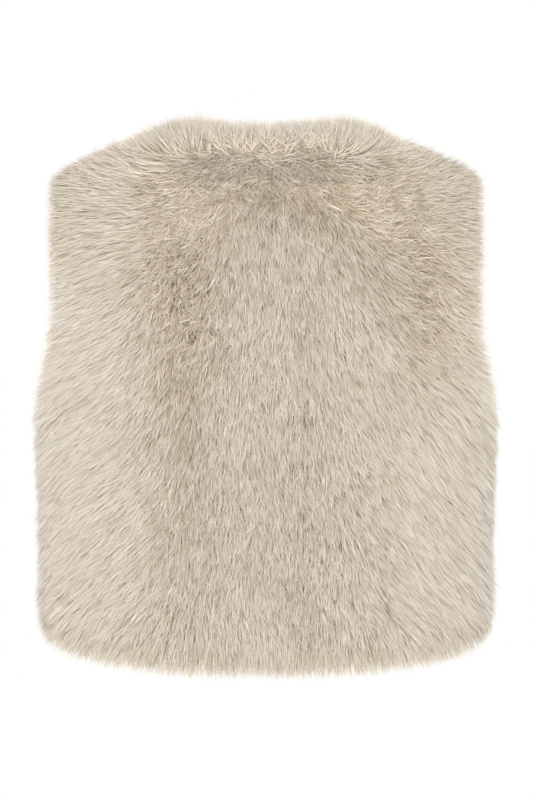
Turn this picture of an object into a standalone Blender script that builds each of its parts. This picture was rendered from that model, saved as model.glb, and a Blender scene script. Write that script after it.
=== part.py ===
# Collarless fur gilet as worn: a back and two fronts cut from long-pile fabric.
# +X is the wearer's left, -Y the front and +Z up. Sizes are millimetres.
from collections import namedtuple

import bmesh
import bpy
import numpy as np

MM = 0.001
SEAM_SPACE = 0.3
TOLERANCE = 0.001

# The cloth's inside face is the surface that is drawn. The pile stands out from it.
WALL = 26.0
HEM_REACH = 25.0
NECK_REACH = 24.0
ARM_REACH = 22.0
FRONT_REACH = 9.8
ROOM_SHARE = 0.97

# Cross sections of the body, from the hem up.
Section = namedtuple("Section", "height half_width back front")
BODY = (
    Section(-472.0, 204.0, 112.0, 118.0),
    Section(-365.0, 201.0, 109.0, 119.0),
    Section(-285.0, 204.0, 110.0, 126.0),
    Section(-200.0, 206.0, 116.0, 130.0),
    Section(-120.0, 206.0, 121.0, 122.0),
    Section(-50.0, 206.0, 118.0, 110.0),
    Section(40.0, 206.0, 108.0, 100.0),
)
SECTION_POWER = 2.4
SECTION_STEPS = 80
SLOPE_STEP = 0.2

HEM_HEIGHT = -472.0
HEM_SIDE_RISE = 43.0
HEM_CURVE = 3
UNDERARM_HEIGHT = -230.0
NECK_HALF_WIDTH = 82.0
NECK_POINT_HEIGHT = 26.0
SHOULDER_HALF_WIDTH = 188.0
SHOULDER_POINT_HEIGHT = -18.0
SHOULDER_DROP = 112.0

# How each panel lies: which side of the seams it is on, where its centre edge is, how
# high its neckline is there, how far the body rises on into the neck, and how deep the
# armhole cuts in from the side, as a share of the body's depth.
Panel = namedtuple("Panel", "side centre neck_height neck_rise armhole_bite column")
BACK = Panel(1.0, 0.0, 13.0, 11.0, 0.56, "back")
FRONT = Panel(-1.0, 10.0, -72.0, 0.0, 0.62, "front")

SIDE_ROWS = 8
ARMHOLE_ROWS = 16
EVEN_SHARE = 0.25
NECK_COLUMNS = 7
SHOULDER_COLUMNS = 7
RIM_STEPS = 6

FUR_COLOUR = (0.62, 0.53, 0.43, 1.0)
FUR_ROUGHNESS = 0.9


def smooth(table, key, value, at):
    """Reads a column of a table between its rows along a smooth curve."""
    x = np.array([getattr(row, key) for row in table])
    y = np.array([getattr(row, value) for row in table])
    slope = np.gradient(y, x)
    k = np.clip(np.searchsorted(x, at) - 1, 0, len(x) - 2)
    step = x[k + 1] - x[k]
    t = np.clip((at - x[k]) / step, 0.0, 1.0)
    rise = y[k + 1] - y[k]
    bend = slope[k] * step * (1 - t) - slope[k + 1] * step * t + rise * (2 * t - 1)
    return y[k] + rise * t + t * (1 - t) * bend


def section_depth(x, half_width, depth):
    share = np.clip(np.abs(x) / half_width, 0.0, 1.0)
    return depth * (1 - share**SECTION_POWER) ** (1 / SECTION_POWER)


def edge_half_width(climb, half_width, panel):
    """Where a panel ends: at the side seam (climb 0) or up its armhole (to 1)."""
    shoulder = section_depth(SHOULDER_HALF_WIDTH, half_width, 1.0)
    fade = max(2 * climb - 1, 0.0)
    bite = panel.armhole_bite * np.sin(np.pi * min(climb, 0.5))
    bite += (shoulder - panel.armhole_bite) * fade**2
    return section_depth(bite, 1.0, half_width)


def along_section(half_width, depth, start, end, share):
    """The x that lies this share of the way round a section from start to end."""
    turn = np.linspace(0.0, np.pi / 2, SECTION_STEPS)
    x = half_width * np.sin(turn) ** (2 / SECTION_POWER)
    y = section_depth(x, half_width, depth)
    run = np.concatenate([[0.0], np.cumsum(np.hypot(np.diff(x), np.diff(y)))])
    first, last = np.interp([start, end], x, run)
    return np.interp(first + (last - first) * share, run, x)


def top_line(panel):
    """The x and height of a half panel's top edge: its neckline, then its shoulder."""
    start = np.arcsin(panel.centre / NECK_HALF_WIDTH)
    neck = np.sin(np.linspace(start, np.pi / 2, NECK_COLUMNS + 1))
    share = np.linspace(0.0, 1.0, SHOULDER_COLUMNS + 1)[1:]
    slope = SHOULDER_POINT_HEIGHT - NECK_POINT_HEIGHT
    scoop = panel.neck_height - NECK_POINT_HEIGHT
    x = NECK_HALF_WIDTH + (SHOULDER_HALF_WIDTH - NECK_HALF_WIDTH) * share
    return np.concatenate(
        [
            np.stack([NECK_HALF_WIDTH * neck, NECK_POINT_HEIGHT + scoop * (1 - neck**2)], axis=1),
            np.stack([x, NECK_POINT_HEIGHT + slope * share], axis=1),
        ]
    )


def ridge_height(x, panel):
    """Height of the line over the shoulders where front and back would meet."""
    slope = SHOULDER_POINT_HEIGHT - NECK_POINT_HEIGHT
    outside = (abs(x) - NECK_HALF_WIDTH) / (SHOULDER_HALF_WIDTH - NECK_HALF_WIDTH)
    if outside > 0:
        return NECK_POINT_HEIGHT + slope * outside
    return NECK_POINT_HEIGHT + panel.neck_rise * (1 - (x / NECK_HALF_WIDTH) ** 2)


def depth_squared(x, height, panel):
    """Square of how far the cloth lies in front of or behind the seams."""
    half_width = smooth(BODY, "height", "half_width", height)
    depth = section_depth(x, half_width, smooth(BODY, "height", panel.column, height))
    ridge = ridge_height(x, panel)
    drop = SHOULDER_DROP + max(ridge - NECK_POINT_HEIGHT, 0.0)
    fall = min((ridge - height) / drop, 1.0)
    return depth**2 * (1 - (1 - fall) ** 2)


def outward(point, panel):
    """The direction in which the pile stands at a point of the cloth."""
    x, y, height = point
    rise_x = depth_squared(x + SLOPE_STEP, height, panel)
    rise_x -= depth_squared(x - SLOPE_STEP, height, panel)
    rise_z = depth_squared(x, height + SLOPE_STEP, panel)
    rise_z -= depth_squared(x, height - SLOPE_STEP, panel)
    return unit(np.array([-rise_x, 4 * SLOPE_STEP * y, -rise_z]))


def half_grid(panel):
    """Points of a half panel's inside face, as rows from the hem up of columns."""
    columns = NECK_COLUMNS + SHOULDER_COLUMNS
    grid = np.zeros((SIDE_ROWS + ARMHOLE_ROWS + 1, columns + 1, 3))
    for i, (top_x, top_height) in enumerate(top_line(panel)):
        share = i / columns
        hem = HEM_HEIGHT + HEM_SIDE_RISE * share**HEM_CURVE
        for j in range(len(grid)):
            climb = max(j - SIDE_ROWS, 0) / ARMHOLE_ROWS
            below = min(j / SIDE_ROWS, 1.0)
            above = (1 - EVEN_SHARE) * (1 - np.cos(np.pi * climb)) / 2 + EVEN_SHARE * climb
            height = hem + (UNDERARM_HEIGHT - hem) * below
            height += (top_height - UNDERARM_HEIGHT) * above
            half_width = smooth(BODY, "height", "half_width", height)
            depth = smooth(BODY, "height", panel.column, height)
            edge = edge_half_width(climb, half_width, panel)
            x = along_section(half_width, depth, panel.centre, edge, share)
            x += (top_x - x) * above
            y = np.sqrt(max(depth_squared(x, height, panel), 0.0))
            grid[j, i] = x, panel.side * y, height
    return grid


def edge_loop(grid):
    """Row and column of each point round a grid's border, anticlockwise."""
    rows, columns = grid.shape[0] - 1, grid.shape[1] - 1
    loop = [(0, i) for i in range(columns)]
    loop += [(j, columns) for j in range(rows)]
    loop += [(rows, i) for i in range(columns, 0, -1)]
    loop += [(j, 0) for j in range(rows, 0, -1)]
    return loop


def unit(vectors):
    return vectors / np.maximum(np.linalg.norm(vectors, axis=-1, keepdims=True), TOLERANCE)


def edge_reach(grid, row, column, panel):
    """How far the pile reaches past the cloth at this point of its border."""
    x, y = grid[row, column, :2]
    top = grid.shape[0] - 1
    on_seam = abs(y) < TOLERANCE
    if row == 0:
        return HEM_REACH
    if row == top and abs(x) < NECK_HALF_WIDTH + TOLERANCE:
        return NECK_REACH
    if panel is FRONT and abs(x) < NECK_HALF_WIDTH:
        return FRONT_REACH
    at_underarm = row == SIDE_ROWS
    at_shoulder_point = row == top and abs(x) > SHOULDER_HALF_WIDTH - TOLERANCE
    if at_underarm or at_shoulder_point or not on_seam:
        return ARM_REACH
    return 0.0


def wall(grid, panel):
    """Closes a panel's inside face into a wall of pile with rounded free edges."""
    normal = np.array([[outward(point, panel) for point in row] for row in grid])
    loop = edge_loop(grid)
    rows, columns = np.array(loop).T
    border = grid[rows, columns]
    ahead = unit(np.roll(border, -1, axis=0) - border)
    edge = ahead + np.roll(ahead, 1, axis=0)
    past = panel.side * np.cross(normal[rows, columns], edge)
    on_seam = np.abs(border[:, 1]) < TOLERANCE
    past[on_seam, 1] = 0.0
    past = unit(past)
    reach = np.array([edge_reach(grid, j, i, panel) for j, i in loop])
    room = ROOM_SHARE * np.abs(border)
    overhang = reach[:, None] * past
    overhang[:, 1] = np.clip(overhang[:, 1], -room[:, 1], room[:, 1])
    if panel is FRONT:
        overhang[:, 0] = np.clip(overhang[:, 0], -room[:, 0], room[:, 0])

    points = np.concatenate([(grid + WALL * normal).reshape(-1, 3), grid.reshape(-1, 3)])
    count = grid.shape[0] * grid.shape[1]
    flat = rows * grid.shape[1] + columns
    rings = [flat]
    for turn in np.linspace(0.0, np.pi, RIM_STEPS + 1)[1:-1]:
        out = WALL * (1 + np.cos(turn)) / 2
        ring = border + out * normal[rows, columns]
        ring = ring + np.sin(turn) * overhang
        rings.append(len(points) + np.arange(len(loop)))
        points = np.concatenate([points, ring])
    rings.append(flat + count)

    faces = []
    for layer in (0, count):
        for j in range(grid.shape[0] - 1):
            for i in range(grid.shape[1] - 1):
                corner = layer + j * grid.shape[1] + i
                faces.append((corner, corner + 1, corner + 1 + grid.shape[1]))
                faces.append((corner, corner + 1 + grid.shape[1], corner + grid.shape[1]))
    for upper, lower in zip(rings[:-1], rings[1:]):
        for k in range(len(loop)):
            following = (k + 1) % len(loop)
            faces.append((upper[k], lower[k], lower[following]))
            faces.append((upper[k], lower[following], upper[following]))
    points[:, 1] += panel.side * SEAM_SPACE / 2
    return points * MM, [[int(v) for v in face] for face in faces]


def fur_material(name):
    material = bpy.data.materials.new(name)
    material.use_nodes = True
    shader = material.node_tree.nodes["Principled BSDF"]
    shader.inputs["Base Color"].default_value = FUR_COLOUR
    shader.inputs["Roughness"].default_value = FUR_ROUGHNESS
    shader.inputs["Metallic"].default_value = 0.0
    return material


def add_panel(name, grid, panel):
    points, faces = wall(grid, panel)
    mesh = bpy.data.meshes.new(name)
    mesh.from_pydata(points.tolist(), [], faces)
    shape = bmesh.new()
    shape.from_mesh(mesh)
    bmesh.ops.recalc_face_normals(shape, faces=shape.faces)
    shape.to_mesh(mesh)
    shape.free()
    mesh.materials.append(fur_material(name + "_fur"))
    bpy.context.scene.collection.objects.link(bpy.data.objects.new(name, mesh))


def mirrored(grid):
    """The same points on the other side of the body, in the other column order."""
    return grid[:, ::-1] * (-1.0, 1.0, 1.0)


for old in list(bpy.data.objects):
    bpy.data.objects.remove(old)

back_half = half_grid(BACK)
front_half = half_grid(FRONT)
add_panel("back", np.concatenate([mirrored(back_half)[:, :-1], back_half], axis=1), BACK)
add_panel("front_left", front_half, FRONT)
add_panel("front_right", mirrored(front_half), FRONT)
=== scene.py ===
import math
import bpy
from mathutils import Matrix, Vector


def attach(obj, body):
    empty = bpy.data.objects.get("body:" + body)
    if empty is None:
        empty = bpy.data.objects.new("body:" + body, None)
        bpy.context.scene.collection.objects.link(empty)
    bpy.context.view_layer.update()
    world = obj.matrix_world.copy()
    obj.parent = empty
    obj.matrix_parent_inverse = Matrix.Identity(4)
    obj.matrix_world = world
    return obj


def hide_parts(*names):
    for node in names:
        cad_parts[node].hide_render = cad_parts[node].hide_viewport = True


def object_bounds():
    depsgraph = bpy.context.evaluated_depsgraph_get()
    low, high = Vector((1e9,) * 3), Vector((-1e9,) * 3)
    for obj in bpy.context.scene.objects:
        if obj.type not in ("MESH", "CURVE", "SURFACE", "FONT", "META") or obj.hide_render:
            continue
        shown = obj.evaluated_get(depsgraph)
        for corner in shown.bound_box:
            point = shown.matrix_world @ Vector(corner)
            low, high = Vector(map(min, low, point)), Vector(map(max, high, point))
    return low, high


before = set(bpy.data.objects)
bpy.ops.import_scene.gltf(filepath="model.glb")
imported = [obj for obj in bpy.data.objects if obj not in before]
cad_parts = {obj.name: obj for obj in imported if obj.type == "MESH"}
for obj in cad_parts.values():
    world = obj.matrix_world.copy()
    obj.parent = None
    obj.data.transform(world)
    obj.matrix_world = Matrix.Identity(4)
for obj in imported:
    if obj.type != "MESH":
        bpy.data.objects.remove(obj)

from types import SimpleNamespace

import bpy
import numpy as np
from mathutils import Vector, kdtree, noise
from mathutils.bvhtree import BVHTree

cadBox = [[float(c) for c in corner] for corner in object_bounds()]
print("frame loaded:", sorted(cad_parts))


def deselectAll():
    if bpy.context.object and bpy.context.object.mode != "OBJECT":
        bpy.ops.object.mode_set(mode="OBJECT")
    bpy.ops.object.select_all(action="DESELECT")


def ramp(low, high, value):
    t = np.clip((value - low) / (high - low), 0.0, 1.0)
    return t * t * (3 - 2 * t)


def bell(value, halfWidth):
    return np.exp(-(value / halfWidth) ** 2)


def unit(vectors):
    return vectors / np.maximum(np.linalg.norm(vectors, axis=-1, keepdims=True), 1e-9)


def ripple(points, size, scale, shift):
    return size * np.array([noise.noise(Vector(p) * scale + Vector((shift, 0, 0))) for p in points])


class Wire:
    def __init__(self, tree, socket=None):
        self.tree, self.socket = tree, socket

    def node(self, kind, settings=None, links=None, out=0):
        made = self.tree.nodes.new(kind)
        for key, value in (settings or {}).items():
            setattr(made, key, value)
        for key, value in (links or {}).items():
            self.plug(made.inputs[key], value)
        return Wire(self.tree, made.outputs[out])

    def plug(self, into, value):
        if isinstance(value, Wire):
            self.tree.links.new(value.socket, into)
        else:
            into.default_value = value

    def calc(self, kind, a, b):
        return self.node("ShaderNodeMath", {"operation": kind}, {0: a, 1: b})

    def __add__(self, other):
        return self.calc("ADD", self, other)

    def __radd__(self, other):
        return self.calc("ADD", other, self)

    def __sub__(self, other):
        return self.calc("SUBTRACT", self, other)

    def __rsub__(self, other):
        return self.calc("SUBTRACT", other, self)

    def __mul__(self, other):
        return self.calc("MULTIPLY", self, other)

    def __rmul__(self, other):
        return self.calc("MULTIPLY", other, self)

    def blend(self, first, second):
        links = {0: self, 6: first, 7: second}
        return self.node("ShaderNodeMix", {"data_type": "RGBA"}, links, out=2)

    def between(self, low, high):
        return self.node("ShaderNodeMapRange", None, {0: self, 1: low, 2: high})


def newMaterial(name):
    material = bpy.data.materials.new(name)
    material.use_nodes = True
    shader = material.node_tree.nodes["Principled BSDF"]
    return material, Wire(material.node_tree), shader.inputs


# the cut of the gilet in metres: the cloth lies on the inside face of the solids
cut = {
    "sections": [  # height, half width, depth of the back, depth of the front
        (-0.472, 0.204, 0.112, 0.118),
        (-0.365, 0.201, 0.109, 0.119),
        (-0.285, 0.204, 0.110, 0.126),
        (-0.200, 0.206, 0.116, 0.130),
        (-0.120, 0.206, 0.121, 0.122),
        (-0.050, 0.206, 0.118, 0.110),
        (0.040, 0.206, 0.108, 0.100),
    ],
    "squareness": 2.4,
    "hem": -0.472, "hemSideRise": 0.043, "hemCurve": 3,
    "underarm": -0.230, "climbEase": 0.75,
    "neckWidth": 0.082, "neckPoint": 0.026,
    "shoulderWidth": 0.188, "shoulderPoint": -0.018, "shoulderDrop": 0.112,
    "seamSpace": 0.0003, "thick": 0.002,
    "sideRows": 24, "armholeRows": 48, "columns": 24,
    "slopeStep": 0.0002, "runSteps": 80,
}
panels = {  # depth names the column of sections
    "back": {"side": 1, "centre": 0.0, "neckHeight": 0.013, "neckRise": 0.011, "bite": 0.56, "depth": 2},
    "front": {"side": -1, "centre": 0.010, "neckHeight": -0.072, "neckRise": 0.0, "bite": 0.62, "depth": 3},
}
sections = np.array(cut["sections"])


def alongSections(column, at):
    x, y = sections[:, 0], sections[:, column]
    slope = np.gradient(y, x)
    k = np.clip(np.searchsorted(x, at) - 1, 0, len(x) - 2)
    step = x[k + 1] - x[k]
    t = np.clip((at - x[k]) / step, 0.0, 1.0)
    rise = y[k + 1] - y[k]
    bend = slope[k] * step * (1 - t) - slope[k + 1] * step * t + rise * (2 * t - 1)
    return y[k] + rise * t + t * (1 - t) * bend


def sectionDepth(x, halfWidth, depth):
    share = np.clip(np.abs(x) / halfWidth, 0.0, 1.0)
    return depth * (1 - share ** cut["squareness"]) ** (1 / cut["squareness"])


def ridgeHeight(x, panel):
    slope = cut["shoulderPoint"] - cut["neckPoint"]
    outside = (np.abs(x) - cut["neckWidth"]) / (cut["shoulderWidth"] - cut["neckWidth"])
    nape = panel["neckRise"] * (1 - (x / cut["neckWidth"]) ** 2)
    return cut["neckPoint"] + np.where(outside > 0, slope * outside, nape)


def depthSquared(x, height, panel):
    depth = sectionDepth(x, alongSections(1, height), alongSections(panel["depth"], height))
    ridge = ridgeHeight(x, panel)
    drop = cut["shoulderDrop"] + np.maximum(ridge - cut["neckPoint"], 0.0)
    fall = np.minimum((ridge - height) / drop, 1.0)
    return depth ** 2 * (1 - (1 - fall) ** 2)


def armholeEdge(climb, halfWidth, panel):
    shoulder = sectionDepth(cut["shoulderWidth"], halfWidth, 1.0)
    bite = panel["bite"] * math.sin(math.pi * min(climb, 0.5))
    bite += (shoulder - panel["bite"]) * max(2 * climb - 1, 0.0) ** 2
    return sectionDepth(bite, 1.0, halfWidth)


def roundSection(halfWidth, depth, start, end, share):
    turn = np.linspace(0.0, math.pi / 2, cut["runSteps"])
    x = halfWidth * np.sin(turn) ** (2 / cut["squareness"])
    steps = np.hypot(np.diff(x), np.diff(sectionDepth(x, halfWidth, depth)))
    run = np.concatenate([[0.0], np.cumsum(steps)])
    first, last = np.interp([start, end], x, run)
    return np.interp(first + (last - first) * share, run, x)


def halfPanel(panel):
    rows, columns = cut["sideRows"] + cut["armholeRows"], cut["columns"]
    points = np.zeros((rows + 1, columns + 1, 3))
    neckStart = math.asin(panel["centre"] / cut["neckWidth"])
    ease = cut["climbEase"]
    for i in range(columns + 1):
        share = i / columns
        neck = math.sin(neckStart + (math.pi / 2 - neckStart) * min(share * 2, 1.0))
        shoulder = max(share * 2 - 1, 0.0)
        topX = cut["neckWidth"] * neck + (cut["shoulderWidth"] - cut["neckWidth"]) * shoulder
        top = cut["neckPoint"] + (panel["neckHeight"] - cut["neckPoint"]) * (1 - neck ** 2)
        top += (cut["shoulderPoint"] - cut["neckPoint"]) * shoulder
        hem = cut["hem"] + cut["hemSideRise"] * share ** cut["hemCurve"]
        for j in range(rows + 1):
            below = min(j / cut["sideRows"], 1.0)
            climb = max(j - cut["sideRows"], 0) / cut["armholeRows"]
            above = ease / 2 * (1 - math.cos(math.pi * climb)) + (1 - ease) * climb
            height = hem + (cut["underarm"] - hem) * below + (top - cut["underarm"]) * above
            halfWidth, depth = alongSections(1, height), alongSections(panel["depth"], height)
            edge = armholeEdge(climb, halfWidth, panel)
            x = roundSection(halfWidth, depth, panel["centre"], edge, share)
            x += (topX - x) * above
            y = math.sqrt(max(float(depthSquared(x, height, panel)), 0.0))
            points[j, i] = x, panel["side"] * y, height
    return points


def outward(points, panel):
    x, y, z = np.moveaxis(points, -1, 0)
    step = cut["slopeStep"]
    riseX = depthSquared(x + step, z, panel) - depthSquared(x - step, z, panel)
    riseZ = depthSquared(x, z + step, panel) - depthSquared(x, z - step, panel)
    return unit(np.stack([-riseX, 4 * step * y, -riseZ], axis=-1))  # the slope of y * y less depthSquared


def clothGrid(kind, half):
    panel = panels[kind]
    left = halfPanel(panel)
    right = left[:, ::-1] * (-1.0, 1.0, 1.0)
    both = np.concatenate([right[:, :-1], left], axis=1)
    points = {"left": left, "right": right, "both": both}[half]
    normals = outward(points, panel)
    return points + (0.0, panel["side"] * cut["seamSpace"] / 2, 0.0), normals


def cellAreas(points):
    oneWay, otherWay = points[1:, 1:] - points[:-1, :-1], points[1:, :-1] - points[:-1, 1:]
    return np.linalg.norm(np.cross(oneWay, otherWay), axis=-1) / 2


grids = {  # points and outward normals of each panel, rows from the hem up
    "back": clothGrid("back", "both"),
    "front_left": clothGrid("front", "left"),
    "front_right": clothGrid("front", "right"),
}
print("cut worked out:", sorted(grids))


# the knitted backing, bare on the inside
def backingMaterial():
    material, wire, inputs = newMaterial("knittedBacking")
    knit = {
        "stitches": (64.0, 80.0, 1.0), "depth": 0.0004,
        "ribBend": 2.0, "courseBend": 1.0, "ribShare": 0.6,
        "blotScale": 0.3, "blotDetail": 3.0, "blotShare": 0.5, "contrast": (0.1, 0.9),
        # the hollows between stitches are painted shade, darker than the loops
        "hollowShade": (0.33, 0.27, 0.20, 1), "loop": (0.52, 0.44, 0.35, 1),
        "roughness": 0.95, "loopSmoother": 0.1,
    }
    uv = wire.node("ShaderNodeUVMap", {"uv_map": "UVMap"})
    knitted = wire.node("ShaderNodeMapping", None, {0: uv, "Scale": knit["stitches"]})
    ribLinks = {0: knitted, "Distortion": knit["ribBend"]}
    courseLinks = {0: knitted, "Distortion": knit["courseBend"]}
    blotLinks = {0: knitted, "Scale": knit["blotScale"], "Detail": knit["blotDetail"]}
    ribs = wire.node("ShaderNodeTexWave", {"bands_direction": "X"}, ribLinks, out=1)
    courses = wire.node("ShaderNodeTexWave", {"bands_direction": "Y"}, courseLinks, out=1)
    blot = wire.node("ShaderNodeTexNoise", None, blotLinks)
    stitch = ribs * knit["ribShare"] + courses * (1 - knit["ribShare"])
    # the backing's own blotches, mixed with painted shade in the stitch hollows
    mottleAndStitchShade = stitch * (1 - knit["blotShare"]) + blot * knit["blotShare"]
    wire.plug(inputs["Base Color"], mottleAndStitchShade.between(*knit["contrast"]).blend(knit["hollowShade"], knit["loop"]))
    wire.plug(inputs["Roughness"], knit["roughness"] - stitch * knit["loopSmoother"])
    bump = wire.node("ShaderNodeBump", None, {"Height": stitch, "Distance": knit["depth"]})
    wire.plug(inputs["Normal"], bump)
    return material


def clothPanel(name, node):
    points = grids[node][0]
    deselectAll()
    bpy.ops.mesh.primitive_grid_add(x_subdivisions=points.shape[1] - 1, y_subdivisions=points.shape[0] - 1)
    cloth = bpy.context.object
    cloth.name = cloth.data.name = name
    cloth.data.vertices.foreach_set("co", points.astype(np.float32).ravel())
    cloth.data.update()
    bpy.ops.object.mode_set(mode="EDIT")
    bpy.ops.mesh.select_all(action="SELECT")
    if node == "back":
        bpy.ops.mesh.flip_normals()
    bpy.ops.object.mode_set(mode="OBJECT")
    solid = cloth.modifiers.new("thickness", "SOLIDIFY")
    solid.thickness, solid.offset = cut["thick"], 1.0
    bpy.ops.object.modifier_apply(modifier="thickness")
    bpy.ops.object.shade_smooth()
    cloth.data.materials.append(backing)
    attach(cloth, "root")
    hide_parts(node)
    return cloth


backing = backingMaterial()
cloths = {
    "back": clothPanel("backCloth", "back"),
    "front_left": clothPanel("leftFrontCloth", "front_left"),
    "front_right": clothPanel("rightFrontCloth", "front_right"),
}
print("cloth sewn")


# how the pile lies, in metres and degrees: Heights are ranges of height, Out of distance from the middle
nap = {
    "lean": [  # height, turn outwards from straight down on the left and the right of the back
        (-0.470, 30, 24),
        (-0.350, 40, 24),
        (-0.250, 46, 26),
        (-0.170, 48, 36),
        (-0.130, 52, 52),
        (-0.090, 60, 66),
        (-0.050, 82, 95),
        (-0.010, 106, 110),
        (0.010, 116, 118),
        (0.050, 140, 140),
    ],
    # the arched parting, its width and roundness on the left and the right
    "partTop": 0.001, "partWidth": (0.078, 0.150), "partRound": (0.030, 0.036),
    "partWaver": (0.008, 34, 3), "sideWaver": (0.006, 60, 9),  # size, scale and shift of a ripple
    "partMix": 0.028, "partSharp": 0.005,
    "partBand": 0.026, "partHeights": (-0.26, -0.14),
    "crownHeights": (-0.10, -0.04), "crownThick": 1.5,
    # turns inside the arch, above it and at its sides
    "innerTurn": 26, "innerOut": (0.04, 0.13),
    "aboveOut": (0.04, 0.15),
    "fanOut": (0.05, 0.15), "fanPower": 0.3, "fanBelow": 0.1,
    # where the pile lies smooth
    "neckHeights": (-0.02, 0.0), "neckOut": (0.09, 0.13),
    "calmOut": (0.09, 0.17), "hemCalm": 0.8, "hemHeights": (-0.46, -0.43),
    # the fronts, whose pile closes over the centre
    "frontTop": -0.12, "frontOut": (0.04, 0.16), "frontCalm": 0.5,
    "closeTurn": 28, "closeOut": (0.010, 0.045),
}
tones = {  # added to a coat's own tone, where 0 is the dark fur and 1 the pale
    "even": 0.06, "blotch": (0.10, 26, 5),
    # the darker brown along the parting, taken off, on the left and the right: the roots' own brown, with the
    # shade of the parted pile painted in
    "partingBrownAndShade": (0.44, 0.52), "brownInset": 0.004, "brownWidth": (0.034, 0.026),
    "brownWiden": 0.022, "brownWidenHeights": (-0.20, -0.10),
    "brownLeftHeights": (-0.43, -0.15), "brownRightHeights": (-0.25, -0.16),
    "brownSpared": 0.75, "brownSparedHeights": (-0.020, 0.002),
    # darker tone at the neck band and where the pile lies smooth: painted shade on the neck and the sides,
    # which the lamps light more strongly
    "neck": -0.30, "calm": -0.31,
    # paler at the top centre of the crown: painted light against the shade in the hollow there
    "paintedCrownLight": 0.30, "crownHeights": (-0.030, 0.0), "crownOut": (0.07, 0.11),
    "shoulder": -0.14, "shoulderHeights": (-0.15, -0.06), "shoulderOut": (0.06, 0.12),
    "streakWaver": (0.006, 14, 7), "streakFade": 0.03,
    "streaks": [  # across to the right, from, down to, half width, lighter or darker
        (-0.076, -0.24, -0.45, 0.010, -0.10),
        (0.039, -0.12, -0.47, 0.009, -0.14),
        (0.104, -0.21, -0.36, 0.010, -0.07),
        (0.004, -0.04, -0.17, 0.014, 0.06),
        (-0.031, -0.12, -0.28, 0.014, 0.08),
        (0.079, -0.23, -0.40, 0.013, 0.07),
    ],
}


def leanAt(height, column):
    rows = np.array(nap["lean"], float)
    return np.interp(height, rows[:, 0], rows[:, column])


def sided(right, pair):
    return np.where(right, pair[1], pair[0])


def partingAt(points):
    across, height = -points[:, 0], points[:, 2]
    right, out = across > 0, np.abs(across)
    width, roundness = sided(right, nap["partWidth"]), sided(right, nap["partRound"])
    below = nap["partTop"] - height + ripple(points, *nap["partWaver"])
    bend = np.exp(-np.maximum(below, 0.0) / roundness)
    steep = width / roundness * bend
    arch = np.where(below > 0, width * (1 - bend), steep * below)
    depth = (arch - out) / np.sqrt(1 + steep ** 2) + ripple(points, *nap["sideWaver"])
    return below, depth


def toneOnBack(points, depth, inside, neck, calm):
    across, height = -points[:, 0], points[:, 2]
    right, out = across > 0, np.abs(across)
    widen = np.where(right, tones["brownWiden"] * ramp(*tones["brownWidenHeights"], height), 0.0)
    onLeft, onRight = ramp(*tones["brownLeftHeights"], height), ramp(*tones["brownRightHeights"], height)
    # darker along the parting: the brown of the roots together with painted shade of the parting
    partingBrownAndShade = bell(depth - tones["brownInset"], sided(right, tones["brownWidth"]) + widen)
    partingBrownAndShade *= sided(right, (onLeft, onRight))
    partingBrownAndShade *= 1 - tones["brownSpared"] * np.maximum(neck, ramp(*tones["brownSparedHeights"], height))
    tone = tones["even"] + ripple(points, *tones["blotch"]) - sided(right, tones["partingBrownAndShade"]) * partingBrownAndShade
    # painted shade: a darker tone at the neck and on the smooth sides, against the stronger light there
    tone += tones["neck"] * neck + tones["calm"] * calm
    # painted light: a paler tone at the top of the crown, where the hollow is shaded
    paintedCrownLight = inside * ramp(*tones["crownHeights"], height) * (1 - ramp(*tones["crownOut"], out))
    shoulder = ramp(*tones["shoulderHeights"], height) * ramp(*tones["shoulderOut"], out)
    tone += tones["paintedCrownLight"] * paintedCrownLight + tones["shoulder"] * shoulder
    wander = ripple(points, *tones["streakWaver"])
    fade = tones["streakFade"]
    for middle, start, end, halfWidth, shade in tones["streaks"]:
        ends = ramp(end - fade, end + fade, height) * (1 - ramp(start - fade, start + fade, height))
        tone += shade * bell(across - middle + wander, halfWidth) * ends
    return tone


def napOnBack(points, stray):
    across, height = -points[:, 0], points[:, 2]
    right, out = across > 0, np.abs(across)
    below, depth = partingAt(points)
    inside = ramp(-nap["partSharp"], nap["partSharp"], depth + nap["partMix"] * stray)
    lean = sided(right, (leanAt(height, 1), leanAt(height, 2)))
    inner = np.where(right, nap["innerTurn"] * ramp(*nap["innerOut"], out), 0.0)
    above = 180 - (180 - lean) * ramp(*nap["aboveOut"], out)
    fan = lean * ramp(*nap["fanOut"], out) ** np.where(below < nap["fanBelow"], nap["fanPower"], 1.0)
    outer = np.where(below < 0, above, fan)
    turn = np.radians(outer + (inner - outer) * inside) * np.sign(across)
    direction = np.stack([-np.sin(turn), np.zeros_like(turn), -np.cos(turn)], axis=1)
    parting = bell(depth, nap["partBand"]) * ramp(*nap["partHeights"], height)
    crown = parting * ramp(*nap["crownHeights"], height)
    neck = (1 - inside) * ramp(*nap["neckHeights"], height) * (1 - ramp(*nap["neckOut"], out))
    calm = np.maximum(ramp(*nap["calmOut"], out) * (1 - parting), neck)
    calm = np.maximum(calm, nap["hemCalm"] * (1 - ramp(*nap["hemHeights"], height)))
    return direction, parting, crown, calm, toneOnBack(points, depth, inside, neck, calm)


def napOnFront(points, stray):
    out, side = np.abs(points[:, 0]), np.sign(points[:, 0])
    turn = leanAt(np.minimum(points[:, 2], nap["frontTop"]), 2) * ramp(*nap["frontOut"], out)
    turn -= nap["closeTurn"] * (1 - ramp(*nap["closeOut"], out))
    turn = np.radians(turn) * side
    direction = np.stack([np.sin(turn), np.zeros_like(turn), -np.cos(turn)], axis=1)
    none = np.zeros(len(points))
    return direction, none, none, none + nap["frontCalm"], ripple(points, *tones["blotch"])


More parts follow.
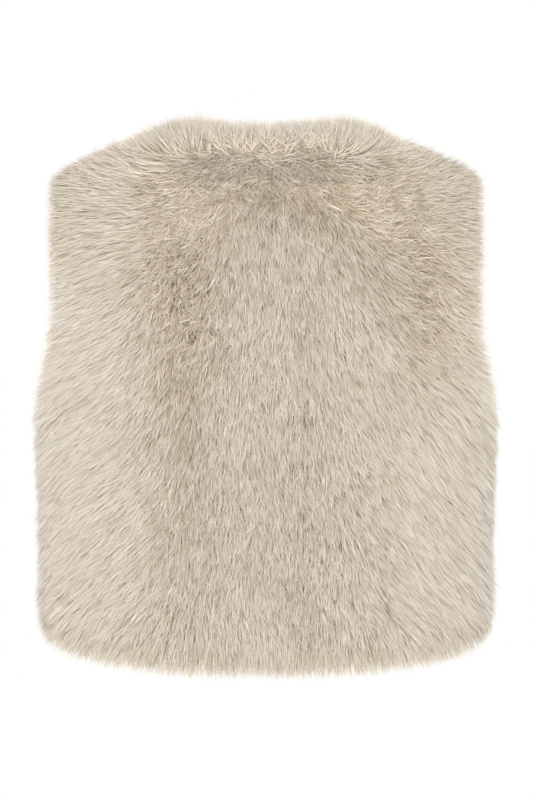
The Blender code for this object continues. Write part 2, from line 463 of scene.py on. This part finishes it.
# the pile itself: lengths in metres, angles in degrees, shares of a strand's own size
fur = {
    "darkRoot": (0.40, 0.275, 0.125, 1), "darkBody": (0.56, 0.445, 0.285, 1),
    "darkTip": (0.655, 0.593, 0.505, 1),
    "paleRoot": (0.62, 0.49, 0.32, 1), "paleBody": (0.79, 0.695, 0.57, 1),
    "paleTip": (0.895, 0.852, 0.795, 1),
    "bodyAt": 0.5, "tipAt": 0.95, "roughness": 0.8, "tipSmoother": 0.2, "specular": 0.25,
    # tilt from upright at the root and the tip, and what adds to it
    "rootTilt": 21.0, "rootVary": 4, "rootTuft": 3, "rootEdge": 24, "rootMost": 66,
    "tipTilt": 53.0, "tipVary": 5, "tipTuft": 4, "tipEdge": 14, "tipMost": 83,
    "calmTilt": 15.0, "topTilt": -36, "topHeights": (-0.015, 0.01), "crownTilt": 20, "crownVary": 8,
    # near the middle, strands that lie down a slope facing upwards tilt further, so that they hang
    "droop": 0.92, "droopTuft": 0.3, "droopMost": 1.1, "droopOut": (0.07, 0.14), "droopFall": (0.0, 0.6),
    # turn to the side, shared by a tuft and each strand's own
    "tuftSpace": 0.0046, "tuftTurn": 6, "wildTurn": 4, "partingTurn": 28,
    "ownTurn": 7, "ownPartingTurn": 10, "turnWaver": (12, 22, 1),
    # the free edges, where strands turn outwards
    "edgeBand": 0.030, "edgePull": 1.2, "edgeAgrees": (-0.5, 0.1), "centrePull": 0.6,
    "overBand": (0.2, 0.8), "overStray": 0.3, "overRise": (0.1, 0.5),
    # length, and how much longer at edges that face down, at the nape, the back's armholes and the fronts
    "lengthVary": 0.10, "lengthTuft": 0.05, "partingShorter": 0.42, "crownShorter": 0.1,
    "downLonger": 0.25, "napeLonger": 0.26, "napeOut": (0.04, 0.08), "napeEnd": 0.1,
    "armholeLonger": 0.12, "frontLonger": -0.12,
    # the line from root to tip, gathered into its tuft, waved and clipped, and its width
    "segments": 2, "wave": 0.06, "gather": (0.15, 0.75), "calmGather": 0.5, "gatherPower": 1.5,
    "overhang": (0.001, 0.007), "shortest": 0.3, "clipRounds": 2,
    "twist": 55, "widths": (0.75, 1.25), "edgeThinner": 0.3, "narrowing": 0.5,
    # tone of each tuft and strand, a painted shadow at edges that face down for the shade under the hem, and
    # how much root colour is skipped
    "toneTuft": 0.22, "toneVary": 0.34, "partingVary": 0.4, "calmVary": 0.8, "toneEnds": (0.03, 0.97),
    "paintedUnderShadow": 0.35, "paintedShadowFall": (0.0, 0.5),
    "rootSkip": 0.44, "topSkip": 0.30, "uvMargin": 0.01, "uvHalf": 0.008,
    "firstSeed": 11,
}


def pileMaterial():
    material, wire, inputs = newMaterial("longPile")
    uv = wire.node("ShaderNodeUVMap", {"uv_map": "OFBake"})
    tone = wire.node("ShaderNodeSeparateXYZ", None, {0: uv}, out=0)
    along = wire.node("ShaderNodeSeparateXYZ", None, {0: uv}, out=1)
    body, tip = along.between(0.0, fur["bodyAt"]), along.between(fur["bodyAt"], fur["tipAt"])
    dark = tip.blend(body.blend(fur["darkRoot"], fur["darkBody"]), fur["darkTip"])
    pale = tip.blend(body.blend(fur["paleRoot"], fur["paleBody"]), fur["paleTip"])
    wire.plug(inputs["Base Color"], tone.blend(dark, pale))
    wire.plug(inputs["Roughness"], fur["roughness"] - along * fur["tipSmoother"])
    inputs["Specular IOR Level"].default_value = fur["specular"]
    return material


def freeEdges(node):
    points = grids[node][0]
    under = cut["sideRows"]
    inNeck = np.abs(points[-1, :, 0]) < cut["neckWidth"] + 1e-6
    edges = [(points[0], points[1], 1.0), (points[-1, inNeck], points[-2, inNeck], 1.0)]
    centre = {"front_left": 0, "front_right": -1}.get(node)
    for outer, inner in ((0, 1), (-1, -2)):
        if outer == centre:
            edges.append((points[:, outer], points[:, inner], fur["centrePull"]))
        else:
            edges.append((points[under:, outer], points[under:, inner], 1.0))
    border = np.concatenate([edge for edge, inner, pull in edges])
    past = unit(np.concatenate([edge - inner for edge, inner, pull in edges]))
    pulls = np.concatenate([np.full(len(edge), pull) for edge, inner, pull in edges])
    return border, past, pulls


def nearest(targets, points):
    tree = kdtree.KDTree(len(targets))
    for i, target in enumerate(targets):
        tree.insert(target, i)
    tree.balance()
    found = [tree.find(p) for p in points]
    return np.array([f[1] for f in found]), np.array([f[2] for f in found])


solids = [BVHTree.FromPolygons([v.co for v in piece.data.vertices], [p.vertices for p in piece.data.polygons])
          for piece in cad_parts.values()]


def pastSolids(points):
    beyond = np.full(len(points), np.inf)
    for solid in solids:
        for k, p in enumerate(points):
            at, normal, face, distance = solid.find_nearest(p)
            if (Vector(p) - at).dot(normal) < 0:
                distance = -distance
            beyond[k] = min(beyond[k], distance)
    return beyond


def scatter(node, count, rng):
    points, normals = grids[node]
    share = cellAreas(points)
    if node == "back":  # thicker at the crown of the parting
        middles = (points[:-1, :-1] + points[1:, 1:]).reshape(-1, 3) / 2
        crown = napOnBack(middles, 0.0)[2]
        share = share * (1 + nap["crownThick"] * crown).reshape(share.shape)
    j, i = np.unravel_index(rng.choice(share.size, count, p=(share / share.sum()).ravel()), share.shape)
    up, over = rng.random((2, count, 1))

    def inCell(grid):
        low = grid[j, i] * (1 - over) + grid[j, i + 1] * over
        high = grid[j + 1, i] * (1 - over) + grid[j + 1, i + 1] * over
        return low * (1 - up) + high * up

    return inCell(points), unit(inCell(normals))


def strandMesh(name, line, width, facing, tone, start):
    count, segments = len(tone), len(line) - 1
    verts = np.zeros((count, 2 * segments + 1, 3))
    for k in range(segments):
        half = width / 2 * (1 - fur["narrowing"] * (k / segments) ** 2)
        across = unit(np.cross(line[k + 1] - line[k], facing)) * half[:, None]
        verts[:, 2 * k], verts[:, 2 * k + 1] = line[k] - across, line[k] + across
    verts[:, -1] = line[-1]
    corners, along, side, starts = [], [], [], []
    for k in range(segments - 1):
        starts.append(len(corners))
        corners += [2 * k, 2 * k + 1, 2 * k + 3, 2 * k + 2]
        along += [k, k, k + 1, k + 1]
        side += [-1, 1, 1, -1]
    starts.append(len(corners))
    corners += [2 * segments - 2, 2 * segments - 1, 2 * segments]
    along += [segments - 1, segments - 1, segments]
    side += [-1, 1, 0]
    strand = np.arange(count)[:, None]
    uv = np.zeros((count, len(corners), 2), np.float32)  # tone across, root to tip upwards
    uv[:, :, 0] = tone[:, None] + fur["uvHalf"] * np.array(side)
    uv[:, :, 1] = start[:, None] + (1 - fur["uvMargin"] - start)[:, None] * np.array(along) / segments
    index = (strand * verts.shape[1] + np.array(corners)).astype(np.int32)
    first = (strand * len(corners) + np.array(starts)).astype(np.int32)
    mesh = bpy.data.meshes.new(name)
    mesh.vertices.add(count * verts.shape[1])
    mesh.vertices.foreach_set("co", verts.astype(np.float32).ravel())
    mesh.loops.add(count * len(corners))
    mesh.loops.foreach_set("vertex_index", index.ravel())
    mesh.polygons.add(count * segments)
    mesh.polygons.foreach_set("loop_start", first.ravel())
    mesh.uv_layers.new(name="OFBake").uv.foreach_set("vector", uv.ravel())
    mesh.update(calc_edges=True)
    mesh.shade_smooth()
    return mesh


def clipToSolids(line, allowed):
    for again in range(fur["clipRounds"]):
        reach = np.linalg.norm(line[-1] - line[0], axis=1)
        keep = np.clip(1 - (pastSolids(line[-1]) - allowed) / reach, fur["shortest"], 1.0)[:, None]
        line = [line[0] + (p - line[0]) * keep for p in line]
    return line


def vary(hair):
    return hair.rng.normal(0, 1, hair.count)


# where each strand stands, its tuft and the free edge that it is close to
def standHair(node, count, rng):
    hair = SimpleNamespace(node=node, count=count, rng=rng)
    hair.root, hair.normal = scatter(node, count, rng)
    tufts = scatter(node, int(cellAreas(grids[node][0]).sum() / fur["tuftSpace"] ** 2), rng)[0]
    tuft = nearest(tufts, hair.root)[0]
    hair.toTuft = tufts[tuft] - hair.root
    ofTufts = rng.normal(0, 1, (4, len(tufts)))
    hair.tuftTurn, hair.tuftTilt, hair.tuftLength, hair.tuftTone = ofTufts[:, tuft]
    border, past, pulls = freeEdges(node)
    edge, gap = nearest(border, hair.root)
    hair.past = past[edge]
    hair.close = (1 - ramp(0.0, fur["edgeBand"], gap)) * pulls[edge]
    hair.out = np.abs(hair.root[:, 0])
    hair.top = ramp(*fur["topHeights"], hair.root[:, 2])
    return hair


# the way each strand lies along the cloth
def layHair(hair):
    stray = vary(hair)
    layNap = napOnBack if hair.node == "back" else napOnFront
    direction, hair.parting, hair.crown, hair.calm, hair.napTone = layNap(hair.root, stray)
    agrees = ramp(*fur["edgeAgrees"], (direction * hair.past).sum(1))
    if hair.node != "back":  # the pile turns over at the front of the neck
        over = ramp(*fur["overBand"], hair.close + fur["overStray"] * stray)
        over = (over * ramp(*fur["overRise"], hair.past[:, 2]))[:, None]
        direction = direction * (1 - over) + hair.past * over
    direction = direction + hair.past * (fur["edgePull"] * hair.close * agrees)[:, None]
    direction = unit(direction - hair.normal * (direction * hair.normal).sum(1, keepdims=True))
    upward = np.degrees(np.arcsin(np.clip(hair.normal[:, 2], 0.0, 1.0)))
    hair.droop = np.clip(fur["droop"] + fur["droopTuft"] * hair.tuftTilt, 0.0, fur["droopMost"]) * upward
    hair.droop *= (1 - ramp(*fur["droopOut"], hair.out)) * ramp(*fur["droopFall"], -direction[:, 2])
    shared = fur["tuftTurn"] + fur["wildTurn"] * (1 - hair.calm) + fur["partingTurn"] * hair.parting
    own = fur["ownTurn"] + fur["ownPartingTurn"] * hair.parting
    swing = shared * hair.tuftTurn + own * vary(hair) + ripple(hair.root, *fur["turnWaver"])
    swing = np.radians(swing)[:, None]
    hair.direction = unit(direction * np.cos(swing) + np.cross(hair.normal, direction) * np.sin(swing))
    hair.sideways = np.cross(hair.normal, hair.direction)


def hairTilts(hair):
    rootTilt = fur["rootTilt"] + fur["rootVary"] * vary(hair) + fur["rootTuft"] * hair.tuftTilt
    rootTilt += fur["rootEdge"] * hair.close + hair.droop
    tipTilt = fur["tipTilt"] + fur["tipVary"] * vary(hair) + fur["tipTuft"] * hair.tuftTilt
    tipTilt += fur["tipEdge"] * hair.close + (fur["calmTilt"] + fur["topTilt"] * hair.top) * hair.calm
    tipTilt += (fur["crownTilt"] + fur["crownVary"] * vary(hair)) * hair.crown + hair.droop
    return np.minimum(rootTilt, fur["rootMost"]), np.minimum(tipTilt, fur["tipMost"])


def hairLengths(hair, length):
    longer = fur["frontLonger"]
    if hair.node == "back":
        nape = fur["napeLonger"] * (1 - ramp(*fur["napeOut"], hair.out))
        longer = np.where(hair.out < fur["napeEnd"], nape, fur["armholeLonger"])
    longer = np.where(hair.past[:, 2] < 0, fur["downLonger"], longer)
    shorter = (fur["partingShorter"] * hair.parting + fur["crownShorter"] * hair.crown) * (1 - hair.calm)
    own = fur["lengthVary"] * vary(hair) + fur["lengthTuft"] * hair.tuftLength
    return length * (1 + own + longer * hair.close - shorter)


def hairLine(hair, length, rootTilt, tipTilt):
    segments = fur["segments"]
    wave = fur["wave"] * vary(hair) * length
    gather = hair.rng.uniform(*fur["gather"], hair.count) * (1 - fur["calmGather"] * hair.calm)
    line = [hair.root + hair.normal * cut["thick"]]
    for k in range(segments):
        tilt = np.radians(rootTilt + (tipTilt - rootTilt) * (k + 0.5) / segments)[:, None]
        way = hair.normal * np.cos(tilt) + hair.direction * np.sin(tilt)
        line.append(line[-1] + way * (length / segments)[:, None])
    for k in range(1, segments + 1):
        t = k / segments
        gathered = hair.toTuft * (gather * t ** fur["gatherPower"])[:, None]
        line[k] = line[k] + gathered + hair.sideways * (wave * t * t)[:, None]
    return clipToSolids(line, hair.rng.uniform(*fur["overhang"], hair.count))


def hairTones(hair, tone):
    uneven = fur["toneTuft"] * hair.tuftTone + fur["toneVary"] * vary(hair)
    uneven *= (1 + fur["partingVary"] * hair.parting) * (1 - fur["calmVary"] * hair.calm)
    # painted shadow on strands at edges that face down, strongest where the edge faces straight down, as
    # under the hem
    shade = fur["paintedUnderShadow"] * hair.close * ramp(*fur["paintedShadowFall"], -hair.past[:, 2])
    return np.clip(tone + hair.napTone + uneven - shade, *fur["toneEnds"])


def growPile(seed, name, node, count, length, width, tone):
    hair = standHair(node, count, np.random.default_rng(seed))
    layHair(hair)
    rootTilt, tipTilt = hairTilts(hair)
    line = hairLine(hair, hairLengths(hair, length), rootTilt, tipTilt)
    twist = np.radians(fur["twist"] * hair.rng.uniform(-1, 1, count))[:, None]
    facing = hair.normal * np.cos(twist) + hair.sideways * np.sin(twist)
    widths = width * hair.rng.uniform(*fur["widths"], count) * (1 - fur["edgeThinner"] * hair.close)
    covered = np.maximum(hair.calm, hair.close * (1 - hair.crown))
    start = fur["uvMargin"] + covered * (fur["rootSkip"] + fur["topSkip"] * hair.top)
    mesh = strandMesh(name, line, widths, facing, hairTones(hair, tone), start)
    mesh.materials.append(pile)
    piece = bpy.data.objects.new(name, mesh)
    bpy.context.scene.collection.objects.link(piece)
    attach(piece, "root")
    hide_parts(node)
    print("pile grown:", name, count, "strands")
    return piece


pile = pileMaterial()
coats = [  # name, node, strands, length, width, tone
    ("backUnderfur", "back", 30000, 0.022, 0.0020, 0.52),
    ("backFur", "back", 66000, 0.031, 0.0012, 0.58),
    ("backTopFur", "back", 66000, 0.032, 0.0011, 0.63),
    ("backGuardHair", "back", 66000, 0.033, 0.0010, 0.68),
    ("leftFrontFur", "front_left", 43000, 0.035, 0.0014, 0.58),
    ("rightFrontFur", "front_right", 43000, 0.035, 0.0014, 0.58),
]
furs = {node: [] for node in cloths}
for seed, (name, node, *look) in enumerate(coats, fur["firstSeed"]):
    furs[node].append(growPile(seed, name, node, *look))

# the area of each panel, summed from its grid and not used further
for node, cloth in cloths.items():
    points = grids[node][0]
    area = round(float(cellAreas(points).sum()), 4)

# floor, light and camera
studio = {
    "floorDrop": 0.85, "floorRadius": 2.5, "floorSides": 96,
    "floorColour": (0.85, 0.85, 0.85, 1), "floorRoughness": 0.9,
    "cameraPlace": (-0.0005, 3.0, -0.230), "lens": 135.0, "sensor": 36.0,
    "middle": (0.0, 0.0, -0.22),
    "softBoxes": [  # name, place, size, watts
        ("backLight", (0.05, 3.2, 0.6), 2.2, 116.0),
        ("frontLight", (-0.05, -3.2, 0.6), 2.2, 90.0),
        ("leftSideLight", (3.0, 0.2, 0.2), 2.2, 18.0),
        ("rightSideLight", (-3.0, 0.2, 0.2), 2.2, 18.0),
    ],
    "backdropLight": 0.57,  # the white backdrop lights less than it shows
}
deselectAll()
floorPlace = (0, 0, cadBox[0][2] - studio["floorDrop"])
bpy.ops.mesh.primitive_circle_add(vertices=studio["floorSides"], radius=studio["floorRadius"],
                                  fill_type="NGON", location=floorPlace)
floor = bpy.context.object
floor.name = "paleFloor"
paint, wire, inputs = newMaterial("paleFloor")
wire.plug(inputs["Base Color"], studio["floorColour"])
wire.plug(inputs["Roughness"], studio["floorRoughness"])
floor.data.materials.append(paint)

world = bpy.data.worlds.new("studioWhite")
bpy.context.scene.world = world
world.use_nodes = True
backdrop = Wire(world.node_tree)
backdropInputs = world.node_tree.nodes["Background"].inputs
seen = backdrop.node("ShaderNodeLightPath")
backdrop.plug(backdropInputs["Color"], (1, 1, 1, 1))
backdrop.plug(backdropInputs["Strength"], seen * (1 - studio["backdropLight"]) + studio["backdropLight"])

for name, place, size, watts in studio["softBoxes"]:
    aim = Vector(studio["middle"]) - Vector(place)
    bpy.ops.object.light_add(type="AREA", location=place, rotation=aim.to_track_quat("-Z", "Y").to_euler())
    lamp = bpy.context.object
    lamp.name, lamp.data.energy, lamp.data.size = name, watts, size

bpy.ops.object.camera_add(location=studio["cameraPlace"], rotation=(math.pi / 2, 0, math.pi))
camera = bpy.context.object
camera.data.sensor_width, camera.data.lens = studio["sensor"], studio["lens"]
bpy.context.scene.camera = camera
bpy.context.scene.view_settings.view_transform = "Standard"
print("studio set")
